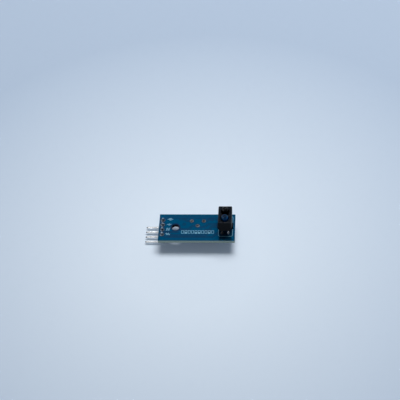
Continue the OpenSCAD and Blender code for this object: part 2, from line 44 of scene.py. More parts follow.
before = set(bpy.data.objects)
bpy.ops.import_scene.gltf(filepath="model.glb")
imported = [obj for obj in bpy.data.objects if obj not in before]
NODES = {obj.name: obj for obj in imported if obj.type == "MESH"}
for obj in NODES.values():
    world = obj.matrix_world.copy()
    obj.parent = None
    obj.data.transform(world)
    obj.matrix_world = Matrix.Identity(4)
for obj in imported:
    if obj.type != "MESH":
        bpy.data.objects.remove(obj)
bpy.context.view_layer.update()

MM = 0.001
MODULE = "module"
RANGE = ("From Min", "From Max", "To Min", "To Max")

# The board, and the holes through it
BOARD_X = 2.95
BOARD_L = 32.0
BOARD_W = 14.0
UNDER = 4.5
TOP = 6.1
LAND = 0.04
HEADER_SPOTS = [(-14.5, 3.81), (-14.5, 1.27), (-14.5, -1.27), (-14.5, -3.81)]
TRIMMER_SPOTS = [(-2.29, 3.37), (0.25, 0.83), (2.79, 3.37)]
LEAD_SPOTS = [(10.68, -3.0), (13.22, -3.0), (10.68, 4.1), (13.22, 4.1)]
LEAD_JOINTS = ("emitter_joint_1", "emitter_joint_2", "detector_joint_1", "detector_joint_2")
MOUNTING_HOLE = (-9.0, 0.0, 1.6)
# Spots, radius of their holes and radius of their lands
PLATED = ((HEADER_SPOTS, 0.5, 0.95), (TRIMMER_SPOTS, 0.42, 0.85), (LEAD_SPOTS, 0.45, 0.72))
# Radius at the foot, height, and half of the width of the pin
HEADER_SOLDER = (0.84, 1.0, 0.36)
TRIMMER_SOLDER = (0.74, 0.4, 0.27)
LEAD_SOLDER = (0.68, 0.8, 0.29)
FILLET = (0.44, 0.95, 0.27)

# Pieces under the board: middles and turns in degrees, and lengths, widths and plated ends
CHIPS = [(-8.6, 5.4, 0), (-5.6, 5.4, 0), (-8.6, -5.4, 0), (5.6, 5.4, 90), (7.4, 5.4, 90), (-2.6, -5.6, 0),
         (5.5, 2.1, 90), (1.4, -5.6, 0)]
CHIP_SIZE = (1.6, 0.8, 0.3)
LAMPS = [(-4.9, -2.9, 90), (-4.9, 2.5, 90)]
LAMP_SIZE = (2.0, 1.25, 0.35)
PAD_MARGIN = 0.15
COMPARATOR = (6.9, -3.3)
# The pitch of the comparator's leads, then its pads' distance from its middle line and their half sizes
COMPARATOR_PITCH = 1.27
COMPARATOR_PAD = (2.825, 0.285, 0.625)

# Copper: a via's radius and its dimple's, the gaps that the plane keeps, and the width of each edge's slope
VIA_R = 0.38
DIMPLE_R = 0.16
TRACK_GAP, PAD_GAP, HOLE_GAP, SIDE_GAP = 0.3, 0.25, 0.5, 0.45
EDGE_SLOPE = 0.16

# Places in the object's own frame, in millimetres
PIN_CUT = (-18.46, -18.6)
DOME_FOOT = 13.3
DOME_TOP = 15.0
# Painted caustic: middle and reach, in millimetres, of the emitter resin's light spot opposite the lamp
EMITTER_CAUSTIC = (15.1, -2.35, 12.9)
CAUSTIC_REACH = (0.4, 1.3)
BLOCK_FOOT = (14.9, 0.55, 6.1)
BLOCK_LEAN = 6.9
BLOCK_HALF = (2.85, 5.1)
BLOCK_TOP = 6.95
BLOCK_RIM = 0.45
# Painted pool of light: middle and reach, in millimetres, of the floor's lighter patch round the object
LIGHT_POOL_MIDDLE = (2.0, -9.0, 0.0)
LIGHT_POOL_REACH = (28.0, 138.0)
FLOOR_HALF = 1500

# Lamp and camera in metres, and the ways to what shiny surfaces see
KEY_PLACE = (0.125, 0.43, 0.885)
KEY_SIZE = (0.8, 0.42)
MIRRORED_PLACE = (0.08, 0.64, 0.76)
GLINT = (0.3, 0.28, 0.91)
WINDOW = (-0.88, -0.3, 0.36)
CAMERA_PLACE = (0.033959, -0.268362, 0.341938)
CAMERA_AIM = (0.002989, 0.020448, -0.0004)
CAMERA_ROLL = -4.623


def linear(*levels):
    """Scene linear values of a colour given as three levels from 0 to 255: the usual screen curve, undone."""
    c = np.asarray(levels, float) / 255
    return tuple(float(v) for v in np.where(c <= 0.04045, c / 12.92, ((c + 0.055) / 1.055) ** 2.4))


# Sizes and colours that a user would change


class BoardLook(bpy.types.PropertyGroup):
    """Solder mask, copper, laminate and print of the board"""

    mask: FloatVectorProperty(name="Solder mask", description="Colour of the mask over bare laminate",
                              subtype="COLOR", min=0, max=1, default=linear(32, 52, 84))
    # Painted edge light: the mask's colour along the board's sides, lighter as if the cut laminate let light in
    mask_edge_light: FloatVectorProperty(name="Mask at the sides", description="Colour of the mask where the "
                                     "laminate lets light in from its cut edge", subtype="COLOR", min=0, max=1,
                                     default=linear(16, 82, 114))
    mask_on_copper: FloatVectorProperty(name="Mask on copper", description="Colour of the mask over copper",
                                        subtype="COLOR", min=0, max=1, default=linear(0, 77, 113))
    laminate: FloatVectorProperty(name="Laminate", description="Colour of the board's cut edge",
                                  subtype="COLOR", min=0, max=1, default=linear(152, 167, 159))
    ink: FloatVectorProperty(name="Print", description="Colour of the printed marks",
                             subtype="COLOR", min=0, max=1, default=linear(168, 218, 240))
    thin_print: FloatProperty(name="Thin print", description="How much of the mask the fine print covers",
                              subtype="FACTOR", min=0, max=1, default=0.6)
    thick_print: FloatProperty(name="Thick print", description="How much of the mask the pins' signs and the "
                               "marks under the board cover", subtype="FACTOR", min=0, max=1, default=0.85)
    relief: FloatProperty(name="Copper height", description="Height of masked copper above the laminate",
                          subtype="DISTANCE", min=0, max=0.00003, default=0.00002)
    cell: FloatProperty(name="Grid", description="Cell size of the board's surface grid",
                        subtype="DISTANCE", min=0.0001, max=0.0005, default=0.00013)
    ink_height: FloatProperty(name="Print height", description="Height of the print above the board",
                              subtype="DISTANCE", min=0.00002, max=0.00005, default=0.000035)


class MetalLook(bpy.types.PropertyGroup):
    """Solder joints, lands, pins and leads"""

    solder: FloatVectorProperty(name="Solder", description="Colour of the solder", subtype="COLOR",
                                min=0, max=1, default=linear(112, 120, 128))
    pin: FloatVectorProperty(name="Pins", description="Colour of the plated pins", subtype="COLOR",
                             min=0, max=1, default=linear(246, 244, 241))
    # Painted light: the bright copy of the fillets' solder; the emitter's first fillet gets the dull, shaded copy
    lit_tin: FloatVectorProperty(name="Lit solder", description="Colour of the bright fillets at the sensor's "
                               "leads", subtype="COLOR", min=0, max=1, default=linear(228, 228, 226))
    # Dull tin of the trimmer's joints and pins, and painted shade: the shaded copy on the emitter's first lead
    # and fillet
    dull_and_shaded: FloatVectorProperty(name="Dull and shaded tin", description="Colour of the trimmer's joints and of worn tin",
                              subtype="COLOR", min=0, max=1, default=linear(98, 94, 95))
    cut: FloatVectorProperty(name="Cut ends", description="Colour of the pins' cut ends", subtype="COLOR",
                             min=0, max=1, default=linear(38, 34, 30))
    unevenness: FloatProperty(name="Unevenness", description="How far a joint strays from round, as a share",
                              subtype="FACTOR", min=0, max=0.2, default=0.07)
    seed: IntProperty(name="Seed", description="Start of the joints' small differences", min=0, default=7)


class SensorLook(bpy.types.PropertyGroup):
    """Housing and eyes of the sensor"""

    housing: FloatVectorProperty(name="Housing", description="Colour of the black housings", subtype="COLOR",
                                 min=0, max=1, default=linear(8, 12, 19))
    # Painted highlight: the lighter colour on the near rim of the sensor's block
    highlighted: FloatVectorProperty(name="Painted rim highlight", description="Colour of the housing where its rim is rubbed",
                                subtype="COLOR", min=0, max=1, default=linear(50, 53, 59))
    emitter: FloatVectorProperty(name="Emitter", description="Tint of the emitter's resin", subtype="COLOR",
                                 min=0, max=1, default=linear(0, 104, 172))
    detector: FloatVectorProperty(name="Detector", description="Tint of the detector's resin", subtype="COLOR",
                                  min=0, max=1, default=linear(3, 3, 6))


class TrimmerLook(bpy.types.PropertyGroup):
    """Trimmer under the board"""

    housing: FloatVectorProperty(name="Housing", description="Colour of the trimmer's case", subtype="COLOR",
                                 min=0, max=1, default=linear(4, 72, 158))
    rotor: FloatVectorProperty(name="Rotor", description="Colour of the rotor", subtype="COLOR",
                               min=0, max=1, default=linear(226, 226, 220))


class StageLook(bpy.types.PropertyGroup):
    """Floor, lamp, sky and camera"""

    # Painted pool of light: the floor's colour is lighter in the middle and darker further out, for the lamp's
    # falloff
    floor: FloatVectorProperty(name="Floor", description="Colour of the floor in the middle", subtype="COLOR",
                               min=0, max=1, default=linear(212, 224, 238))
    floor_past_light_pool: FloatVectorProperty(name="Floor, further out", description="Colour of the floor round it",
                                    subtype="COLOR", min=0, max=1, default=linear(166, 182, 204))
    # Painted glow: the floor emits this to camera, glossy and transmission rays, lifting its shadows
    floor_painted_glow: FloatVectorProperty(name="Floor glow", description="What the pale paper adds in its shadows",
                                    subtype="COLOR", min=0, max=1, default=linear(76, 87, 98))
    key: FloatProperty(name="Key lamp", description="Power of the lamp behind the object", unit="POWER",
                       min=0, default=9.3)
    fill: FloatProperty(name="Fill", description="Strength of the sky on the lamp's side", min=0, max=2,
                        default=0.14)
    dim: FloatProperty(name="Dim side", description="Strength of the sky away from the lamp", min=0, max=2,
                       default=0.03)
    mirrored: FloatProperty(name="Mirrored sky", description="What shiny surfaces see on the lamp's side",
                            min=0, max=2, default=0.62)
    glint: FloatProperty(name="Glint", description="Strength of the bright patch that shiny surfaces reflect",
                         min=0, max=60, default=24.0)
    window: FloatProperty(name="Window", description="Strength of the pale window that shiny surfaces reflect "
                          "from the header's side", min=0, max=10, default=2.8)
    view_angle: FloatProperty(name="Angle of view", description="Angle that the camera takes in",
                              subtype="ANGLE", default=math.radians(22))


# Meshes


def put_mesh(name, points, quads, tris=(), smooth=True, sharp_angle=None):
    """An object from arrays of points in millimetres of the board's frame: each point is moved by the board's
    place and divided by a thousand. Faces are rows of point numbers, quads first and then triangles."""
    points = np.asarray(points, float) + np.array([BOARD_X, 0.0, 0.0])
    quads = np.asarray(quads, np.int32).reshape(-1, 4)
    tris = np.asarray(tris, np.int32).reshape(-1, 3)
    mesh = bpy.data.meshes.new(name)
    mesh.vertices.add(len(points))
    mesh.vertices.foreach_set("co", (points * MM).astype(np.float32).ravel())
    corners = np.concatenate([quads.ravel(), tris.ravel()])
    mesh.loops.add(len(corners))
    mesh.loops.foreach_set("vertex_index", corners)
    starts = np.concatenate([np.arange(len(quads)) * 4, len(quads) * 4 + np.arange(len(tris)) * 3])
    mesh.polygons.add(len(starts))
    mesh.polygons.foreach_set("loop_start", starts.astype(np.int32))
    mesh.polygons.foreach_set("use_smooth", np.full(len(starts), smooth))
    mesh.update(calc_edges=True)
    mesh.validate()
    if sharp_angle is not None:
        mesh.set_sharp_from_angle(angle=math.radians(sharp_angle))
    piece = bpy.data.objects.new(name, mesh)
    bpy.context.scene.collection.objects.link(piece)
    return piece


def join(shapes):
    """One set of points and quads from several: each shape's point numbers are raised by the points before it."""
    points, quads, at = [], [], 0
    for p, q in shapes:
        points.append(p)
        quads.append(np.asarray(q) + at)
        at += len(p)
    return np.concatenate(points), np.concatenate(quads)


def grid_cells(number):
    """The four point numbers of each cell of a grid, from the numbers of its points."""
    return np.stack([number[:-1, :-1], number[1:, :-1], number[1:, 1:], number[:-1, 1:]], 2).reshape(-1, 4)


def ribbon(path, width, low, high, closed=False):
    """A flat bar along a path in the plane. Each point moves to both sides by half the width along the mean of
    the normals of its two stretches, divided by the cosine between that mean and either normal, so that the bar
    keeps its width round a corner. Four corners a point make the rings, and an open bar gets an end face."""
    p = np.asarray(path, float)
    ahead = np.roll(p, -1, 0) - p
    if not closed:
        ahead[-1] = ahead[-2]
    ahead /= np.linalg.norm(ahead, axis=1, keepdims=True)
    behind = np.roll(ahead, 1, 0)
    if not closed:
        behind[0] = ahead[0]
    normal_a = np.stack([-ahead[:, 1], ahead[:, 0]], 1)
    normal_b = np.stack([-behind[:, 1], behind[:, 0]], 1)
    mean = normal_a + normal_b
    mean /= np.linalg.norm(mean, axis=1, keepdims=True)
    reach = (width / 2) / np.maximum((mean * normal_a).sum(1, keepdims=True), 0.35)
    left, right = p + mean * reach, p - mean * reach
    lows, highs = np.full((len(p), 1), low), np.full((len(p), 1), high)
    rings = np.stack([np.hstack([left, lows]), np.hstack([left, highs]),
                      np.hstack([right, highs]), np.hstack([right, lows])], 1)
    n = len(p)
    i = np.arange(n if closed else n - 1)[:, None]
    k = np.arange(4)[None, :]
    j = (i + 1) % n
    quads = np.stack([i * 4 + k, i * 4 + (k + 1) % 4, j * 4 + (k + 1) % 4, j * 4 + k], 2).reshape(-1, 4)
    if not closed:
        end = (n - 1) * 4
        quads = np.vstack([quads, [0, 3, 2, 1], [end, end + 1, end + 2, end + 3]])
    return rings.reshape(-1, 3), quads


def circle_path(x, y, radius, count=40):
    """Points at equal angles on a circle."""
    a = np.radians(np.linspace(0, 360, count, endpoint=False))
    return np.stack([x + radius * np.cos(a), y + radius * np.sin(a)], 1)


def box_path(x, y, length, width):
    """The four corners of a rectangle about a middle, the way round that keeps its inside on the left."""
    a, b = length / 2, width / 2
    return [(x - a, y - b), (x + a, y - b), (x + a, y + b), (x - a, y + b)]


# Copper under the mask


TOP_TRACKS = [
    (0.50, [(-14.5, 3.81), (-13.3, 5.2), (-3.4, 5.2), (-2.29, 4.1), (-2.29, 3.37)]),
    (0.50, [(-3.4, 5.2), (7.6, 5.2), (8.7, 4.1), (10.68, 4.1)]),
    (0.30, [(-14.5, -1.27), (-13.2, -2.5), (-7.9, -2.5), (-6.9, -1.1), (-3.6, -1.1), (-1.7, 0.83), (0.25, 0.83)]),
    (0.30, [(-14.5, -3.81), (-13.1, -5.2), (6.6, -5.2), (8.8, -3.0), (10.68, -3.0)]),
    (0.30, [(0.25, 0.83), (1.08, 0.0), (3.0, 0.0), (4.6, 1.6), (8.5, 1.6)]),
    (0.30, [(2.79, 3.37), (4.2, 3.37), (5.0, 4.15), (6.4, 4.15)]),
    (0.30, [(-2.29, 3.37), (-4.4, 3.37), (-5.35, 4.3), (-7.0, 4.3)]),
    (0.30, [(-11.0, -4.3), (3.6, -4.3), (5.4, -2.5), (5.4, -0.6), (6.4, 0.4), (8.5, 0.4)]),
    (0.30, [(13.22, -3.0), (14.7, -1.5), (14.7, 2.6), (13.22, 4.1)]),
]
VIAS = [(8.5, 1.6), (6.4, 4.15), (-7.0, 4.3), (-11.0, -4.3), (8.5, 0.4), (-5.4, 1.6), (3.9, -1.6)]
UNDER_TRACKS = [
    (0.50, [(-14.5, 3.81), (-12.9, 5.4), (-9.25, 5.4)]),
    (0.30, [(-7.95, 5.4), (-6.25, 5.4)]),
    (0.30, [(-4.95, 5.4), (-4.95, 3.35)]),
    (0.30, [(-4.9, 1.65), (-5.4, 1.1), (-5.4, -1.2), (-4.9, -2.05)]),
    (0.30, [(-14.5, -1.27), (-12.9, -2.9), (-11.4, -2.9), (-9.25, -5.05), (-9.25, -5.4)]),
    (0.30, [(-7.95, -5.4), (-6.3, -3.75), (-4.9, -3.75)]),
    (0.30, [(-14.5, -3.81), (-12.7, -5.6), (-11.2, -6.4), (1.2, -6.4), (2.05, -5.6)]),
    (0.30, [(-3.25, -5.6), (-4.1, -5.6)]),
    (0.30, [(-1.95, -5.6), (0.75, -5.6)]),
    (0.30, [(4.99, -6.1), (3.6, -4.7), (3.6, -1.9), (4.99, -0.5)]),
    (0.30, [(6.27, -0.5), (6.27, 0.6), (5.5, 1.45)]),
    (0.30, [(7.53, -0.5), (7.53, 1.9), (8.5, 2.9), (9.5, 2.9), (10.68, 4.1)]),
    (0.30, [(8.81, -0.5), (9.6, 0.3), (9.6, 1.4), (12.2, 4.0), (13.22, 4.1)]),
    (0.30, [(8.81, -6.1), (9.9, -5.0), (9.9, -3.8), (10.68, -3.0)]),
    (0.30, [(5.6, 4.75), (6.2, 4.1), (6.8, 4.1), (7.4, 4.75)]),
    (0.50, [(5.6, 6.05), (7.4, 6.05)]),
]


def pad_boxes():
    """Middle and half sizes of each tinned pad under the board: chip ends, lamp ends and comparator leads."""
    pads = []
    for spots, (length, width, end) in ((CHIPS, CHIP_SIZE), (LAMPS, LAMP_SIZE)):
        reach = length / 2 - end / 2 + PAD_MARGIN
        half, side = end / 2 + 2 * PAD_MARGIN, width / 2 + PAD_MARGIN
        for x, y, turn in spots:
            for s in (-1, 1):
                if turn:
                    pads.append((x, y + s * reach, side, half))
                else:
                    pads.append((x + s * reach, y, half, side))
    out, half, side = COMPARATOR_PAD
    for i in range(4):
        for s in (-1, 1):
            pads.append((COMPARATOR[0] + (i - 1.5) * COMPARATOR_PITCH, COMPARATOR[1] + s * out, half, side))
    return pads


def track_distance(x, y, tracks):
    """Distance to the nearest track's or via's edge: to each straight stretch, that to the nearest point on it,
    less half the track's width; to a via, that to its middle, less its radius."""
    best = np.full(x.shape, 99.0)
    for width, path in tracks:
        for (ax, ay), (bx, by) in zip(path[:-1], path[1:]):
            dx, dy = bx - ax, by - ay
            t = np.clip(((x - ax) * dx + (y - ay) * dy) / (dx * dx + dy * dy), 0, 1)
            best = np.minimum(best, np.hypot(x - ax - t * dx, y - ay - t * dy) - width / 2)
    for vx, vy in VIAS:
        best = np.minimum(best, np.hypot(x - vx, y - vy) - VIA_R)
    return best


def pad_distance(x, y, boxes):
    """Distance to the nearest pad's edge: round lands by their radius, square ones by the box rule."""
    best = np.full(x.shape, 99.0)
    for spots, _, radius in PLATED:
        for px, py in spots:
            best = np.minimum(best, np.hypot(x - px, y - py) - radius)
    for px, py, hx, hy in boxes:
        ax, ay = np.abs(x - px) - hx, np.abs(y - py) - hy
        outside = np.hypot(np.maximum(ax, 0), np.maximum(ay, 0))
        best = np.minimum(best, outside + np.minimum(np.maximum(ax, ay), 0))
    return best


def copper_cover(x, y, tracks, boxes):
    """How much of each point is copper, 0 to 1: tracks, vias and pads, and a plane round them that keeps a gap
    from the tracks, the pads, the mounting hole and the board's sides. Each edge is a smooth step, three times
    the square less twice the cube. A via has a dimple in its middle."""
    def step(d):
        t = np.clip(0.5 - d / EDGE_SLOPE, 0, 1)
        return t * t * (3 - 2 * t)
    track = track_distance(x, y, tracks)
    pad = pad_distance(x, y, boxes)
    hole = np.hypot(x - MOUNTING_HOLE[0], y - MOUNTING_HOLE[1]) - MOUNTING_HOLE[2]
    side = np.minimum(BOARD_L / 2 - np.abs(x), BOARD_W / 2 - np.abs(y))
    plane = np.minimum.reduce([track - TRACK_GAP, pad - PAD_GAP, hole - HOLE_GAP, side - SIDE_GAP])
    cover = np.maximum.reduce([step(track), step(pad), step(-plane)])
    for vx, vy in VIAS:
        cover = cover * (1 - 0.8 * step(np.hypot(x - vx, y - vy) - DIMPLE_R))
    return cover


def masked_board(look):
    """The board as one closed solid with its copper showing through the mask. Both faces are the same grid of
    cells. A grid point inside a hole moves out along its radius to the hole's circle, and a cell with all four
    points inside is left out. The height is the face's height plus the copper's height times its cover. Walls
    join the two faces wherever a cell's edge has no neighbour."""
    cell = look.cell / MM
    nx, ny = int(round(BOARD_L / cell)), int(round(BOARD_W / cell))
    x, y = np.meshgrid(np.linspace(-BOARD_L / 2, BOARD_L / 2, nx + 1),
                       np.linspace(-BOARD_W / 2, BOARD_W / 2, ny + 1), indexing="ij")
    inside = np.zeros(x.shape, bool)
    holes = [MOUNTING_HOLE] + [(a, b, r) for spots, r, _ in PLATED for a, b in spots]
    for hx, hy, r in holes:
        d = np.hypot(x - hx, y - hy)
        near = d < r + 0.25 * cell
        safe = np.where(d < 1e-6, 1.0, d)
        x = np.where(near, hx + (x - hx) * r / safe, x)
        y = np.where(near, hy + (y - hy) * r / safe, y)
        inside |= near
    cells = grid_cells(np.arange(x.size).reshape(x.shape))
    cells = cells[~inside.ravel()[cells].all(1)]
    used, cells = np.unique(cells, return_inverse=True)
    cells = cells.reshape(-1, 4)
    x, y = x.ravel()[used], y.ravel()[used]
    relief = look.relief / MM
    top_cover = copper_cover(x, y, TOP_TRACKS, [])
    under_cover = copper_cover(x, y, UNDER_TRACKS, pad_boxes())
    n = len(x)
    edges = np.concatenate([cells[:, [k, (k + 1) % 4]] for k in range(4)])
    keys = edges[:, 0].astype(np.int64) * n + edges[:, 1]
    back = edges[:, 1].astype(np.int64) * n + edges[:, 0]
    rim = edges[~np.isin(keys, back)]
    walls = np.stack([rim[:, 1], rim[:, 0], rim[:, 0] + n, rim[:, 1] + n], 1)
    points = np.concatenate([np.stack([x, y, TOP + relief * top_cover], 1),
                             np.stack([x, y, UNDER - relief * under_cover], 1)])
    piece = put_mesh("board_with_copper", points, np.concatenate([cells, cells[:, ::-1] + n, walls]),
                     sharp_angle=40)
    cover = piece.data.attributes.new("copper", "FLOAT", "POINT")
    cover.data.foreach_set("value", np.concatenate([top_cover, under_cover]).astype(np.float32))
    # Painted edge light: how near each point is to the board's sides, for the lighter mask there
    side = np.minimum(BOARD_L / 2 - np.abs(x), BOARD_W / 2 - np.abs(y))
    edge_light = piece.data.attributes.new("edge_light", "FLOAT", "POINT")
    edge_light.data.foreach_set("value", np.tile(np.clip(1.5 - side / 0.4, 0, 1), 2).astype(np.float32))
    return piece


# Solder


def solder_mound(x, y, foot, radius, height, pin_half, down, uneven, rng):
    """A solder joint: rings about the pin's axis, from the land up to the pin. Along the slope the radius falls
    from the foot's to the pin's on a hollow curve, (1 - t) to the power 2.2, and the height rises by t to the
    power 1.3. The ring turns from round to a rounded square that wraps the pin, by the superellipse of power 6,
    and low waves with two, three and five crests make it uneven. The last ring closes inside the pin."""
    count, steps = 48, 16
    a = np.linspace(0, 2 * np.pi, count, endpoint=False)[None, :]
    t = np.linspace(0, 1, steps)[:, None]
    square = pin_half / (np.abs(np.cos(a)) ** 6 + np.abs(np.sin(a)) ** 6) ** (1 / 6)
    wave = sum(rng.uniform(0.3, 1.0) * np.cos(k * a + rng.uniform(0, 6.28)) for k in (2, 3, 5)) / 3
    hollow = (1 - t) ** 2.2
    r = hollow * radius * (1 + uneven * wave * t * 2) + (1 - hollow) * square
    lift = height * (1 + uneven * 1.5 * np.cos(a + rng.uniform(0, 6.28)) * t)
    z = lift * t ** 1.3
    r = np.concatenate([r[:1] * 0, r, r[-1:] * 0.25])
    z = np.concatenate([z[:1] * 0, z, z[-1:] + 0.02])
    sign = -1 if down else 1
    points = np.stack([x + r * np.cos(a), y + r * np.sin(a), foot + sign * z], 2).reshape(-1, 3)
    i = np.arange(steps + 1)[:, None]
    k = np.arange(count)[None, :]
    n = (k + 1) % count
    quads = np.stack([i * count + k, i * count + n, (i + 1) * count + n, (i + 1) * count + k], 2).reshape(-1, 4)
    top = (steps + 1) * count
    centre = np.array([[x, y, foot + sign * float(z[-1].mean())]])
    caps = np.stack([top + k[0], top + n[0], np.full(count, len(points))], 1)
    if down:
        quads, caps = quads[:, ::-1], caps[:, ::-1]
    return np.concatenate([points, centre]), quads, caps


# Materials


class Shade:
    """One procedural material: a plain shader whose uniform values sit on its own sockets, and nodes in front of
    it for what varies over the surface. All patterns read Object coordinates, in metres."""

    def __init__(self, name, colour, rough, metal=0.0, specular=0.5):
        self.material = bpy.data.materials.new(name)
        self.material.use_nodes = True
        self.tree = self.material.node_tree
        self.shader = next(n for n in self.tree.nodes if n.type == "BSDF_PRINCIPLED")
        self.place = self.add("ShaderNodeTexCoord").outputs["Object"]
        self.set(colour=colour, rough=rough)
        self.shader.inputs["Metallic"].default_value = metal
        self.shader.inputs["Specular IOR Level"].default_value = specular
        self.material.diffuse_color = (*colour[:3], 1)

    def add(self, kind, **values):
        node = self.tree.nodes.new(kind)
        for key, value in values.items():
            setattr(node, key, value)
        return node

    def put(self, value, socket):
        """A value or a link into a socket."""
        if isinstance(value, bpy.types.NodeSocket):
            self.tree.links.new(value, socket)
        elif hasattr(value, "__len__") and len(value) == 3 and socket.type == "RGBA":
            socket.default_value = (*value, 1)
        else:
            socket.default_value = value

    def set(self, colour=None, rough=None):
        if colour is not None:
            self.put(colour, self.shader.inputs["Base Color"])
        if rough is not None:
            self.put(rough, self.shader.inputs["Roughness"])

    def noise(self, scale, detail, vector=None):
        """Noise from 0 to 1 with its features about 1 / scale metres apart."""
        node = self.add("ShaderNodeTexNoise")
        self.put(vector or self.place, node.inputs["Vector"])
        node.inputs["Scale"].default_value = scale
        node.inputs["Detail"].default_value = detail
        node.inputs["Roughness"].default_value = 0.55
        return node.outputs["Fac"]

    def spread(self, value, low, high, to_low=0.0, to_high=1.0):
        """A value's stretch from low to high, laid over another stretch and held within it."""
        node = self.add("ShaderNodeMapRange", clamp=True)
        self.put(value, node.inputs["Value"])
        for key, number in zip(RANGE, (low, high, to_low, to_high)):
            node.inputs[key].default_value = number
        return node.outputs["Result"]

    def math(self, kind, a, b=0.0):
        node = self.add("ShaderNodeMath", operation=kind)
        self.put(a, node.inputs[0])
        self.put(b, node.inputs[1])
        return node.outputs[0]

    def mix(self, factor, a, b):
        """Colour a where the factor is 0 and colour b where it is 1."""
        node = self.add("ShaderNodeMix", data_type="RGBA")
        self.put(factor, node.inputs[0])
        self.put(a, node.inputs[6])
        self.put(b, node.inputs[7])
        return node.outputs[2]

    def split(self, vector=None):
        """The X, Y and Z of a vector, or else of the place in the object."""
        node = self.add("ShaderNodeSeparateXYZ")
        self.put(vector or self.place, node.inputs[0])
        return node.outputs

    def scaled(self, *scale):
        """The place in the object, drawn out or pressed flat along its axes."""
        node = self.add("ShaderNodeMapping")
        self.put(self.place, node.inputs["Vector"])
        node.inputs["Scale"].default_value = scale
        return node.outputs["Vector"]

    def distance(self, point, vector=None):
        """How far a place is from a point given in millimetres."""
        node = self.add("ShaderNodeVectorMath", operation="DISTANCE")
        self.put(vector or self.place, node.inputs[0])
        node.inputs[1].default_value = [c * MM for c in point]
        return node.outputs["Value"]

    def attribute(self, name):
        return self.add("ShaderNodeAttribute", attribute_name=name).outputs["Fac"]

    def bump(self, height, depth, strength):
        node = self.add("ShaderNodeBump")
        node.inputs["Strength"].default_value = strength
        node.inputs["Distance"].default_value = depth
        self.put(height, node.inputs["Height"])
        self.put(node.outputs["Normal"], self.shader.inputs["Normal"])


def mask_material(look):
    """Solder mask by the copper under it, with a faint mottle and orange peel, and painted edge light: lighter
    along the board's sides. It laps 0.2 mm over the upper edge. From there down to 0.03 mm over the lower face
    the cut laminate shows, streaked along by its glass cloth, with painted shade on the mounting hole's wall."""
    s = Shade("solder_mask", look.mask, 0.3, metal=0.6, specular=0.0)
    mottle = s.spread(s.noise(900, 4), 0.3, 0.7)
    cover = s.attribute("copper")
    # Painted edge light: the mask is lighter along the board's sides
    bare = s.mix(s.attribute("edge_light"), look.mask, look.mask_edge_light)
    dark = s.mix(s.math("MULTIPLY", mottle, 0.15), bare, look.mask_edge_light)
    light = s.mix(mottle, look.mask_on_copper, [c * 1.1 for c in look.mask_on_copper])
    mask = s.mix(cover, dark, light)
    z = s.split()["Z"]
    above, below = s.math("GREATER_THAN", z, (UNDER + 0.03) * MM), s.math("LESS_THAN", z, (TOP - 0.2) * MM)
    core = s.math("MULTIPLY", above, below)
    cloth = s.noise(1400, 2, vector=s.scaled(1, 1, 9))
    cut = s.mix(s.spread(cloth, 0.35, 0.65), [c * 0.72 for c in look.laminate], look.laminate)
    hole_x, hole_y, hole_r = MOUNTING_HOLE
    # Painted shade: the laminate on the mounting hole's wall is nearly black, for the shade inside the hole
    bore = s.distance((BOARD_X + hole_x, hole_y, 0), vector=s.scaled(1, 1, 0))
    hole_shade = s.spread(bore, (hole_r + 0.05) * MM, (hole_r + 0.3) * MM)
    cut = s.mix(hole_shade, [c * 0.03 for c in look.laminate], cut)
    s.set(colour=s.mix(core, mask, cut), rough=s.spread(mottle, 0, 1, 0.15, 0.2))
    s.bump(s.noise(2600, 2), 0.000004, 0.5)
    return s.material


def ink_material(name, ink, under, cover):
    """Printed ink with a dry surface, thin in places, where the mask under it shows through."""
    s = Shade(name, ink, 0.75, specular=0.1)
    thin = s.spread(s.noise(3200, 3), 0.35, 0.62, cover * 0.8, cover)
    s.set(colour=s.mix(thin, under, ink))
    s.bump(s.noise(9000, 2), 0.000003, 0.4)
    return s.material


def solder_material(look):
    """Solder that froze slowly: bright, with darker frosted patches."""
    s = Shade("tin_solder", look.solder, 0.22, metal=1.0)
    frost = s.spread(s.noise(1900, 4), 0.42, 0.66)
    colour = s.mix(frost, look.solder, [c * 0.62 for c in look.solder])
    s.set(colour=colour, rough=s.spread(frost, 0, 1, 0.14, 0.36))
    s.bump(s.noise(3600, 3), 0.000012, 0.6)
    return s.material


def land_material(look):
    """Tinned copper lands with fine drag marks."""
    s = Shade("tinned_lands", [c * 0.8 for c in look.solder], 0.36, metal=1.0)
    s.set(rough=s.spread(s.noise(2500, 3), 0.3, 0.7, 0.26, 0.48))
    s.bump(s.noise(5200, 2), 0.000003, 0.5)
    return s.material


def pin_material(look):
    """Plated header pins with lengthwise draw marks. Their tips, where they were cut off, are dark base metal,
    and their upper ends are wetted with solder."""
    s = Shade("plated_pins", look.pin, 0.3, metal=0.75)
    marks = s.noise(9000, 2, vector=s.scaled(0.08, 1, 1))
    place = s.split()
    tip = s.spread(place["X"], *(x * MM for x in PIN_CUT))
    top = s.spread(place["Z"], (TOP + 0.8) * MM, (TOP + 0.95) * MM)
    plated = s.mix(s.spread(marks, 0.3, 0.7), [c * 0.86 for c in look.pin], look.pin)
    ends = s.mix(top, plated, [c * 1.6 for c in look.solder])
    s.set(colour=s.mix(tip, ends, look.cut), rough=s.spread(marks, 0.3, 0.7, 0.22, 0.38))
    s.bump(marks, 0.000004, 0.5)
    return s.material


def lit_solder_material(look):
    """Bright solder with a faint grain on the fillets at the sensor's leads but the emitter's first: a lit copy
    of the dull tin there, painted light.
    """
    s = Shade("lit_solder", look.lit_tin, 0.2, metal=1.0)
    grain = s.spread(s.noise(4200, 3), 0.35, 0.65)
    s.set(colour=s.mix(grain, [c * 0.8 for c in look.lit_tin], look.lit_tin), rough=s.spread(grain, 0, 1, 0.16, 0.28))
    s.bump(s.noise(5200, 2), 0.000005, 0.4)
    return s.material


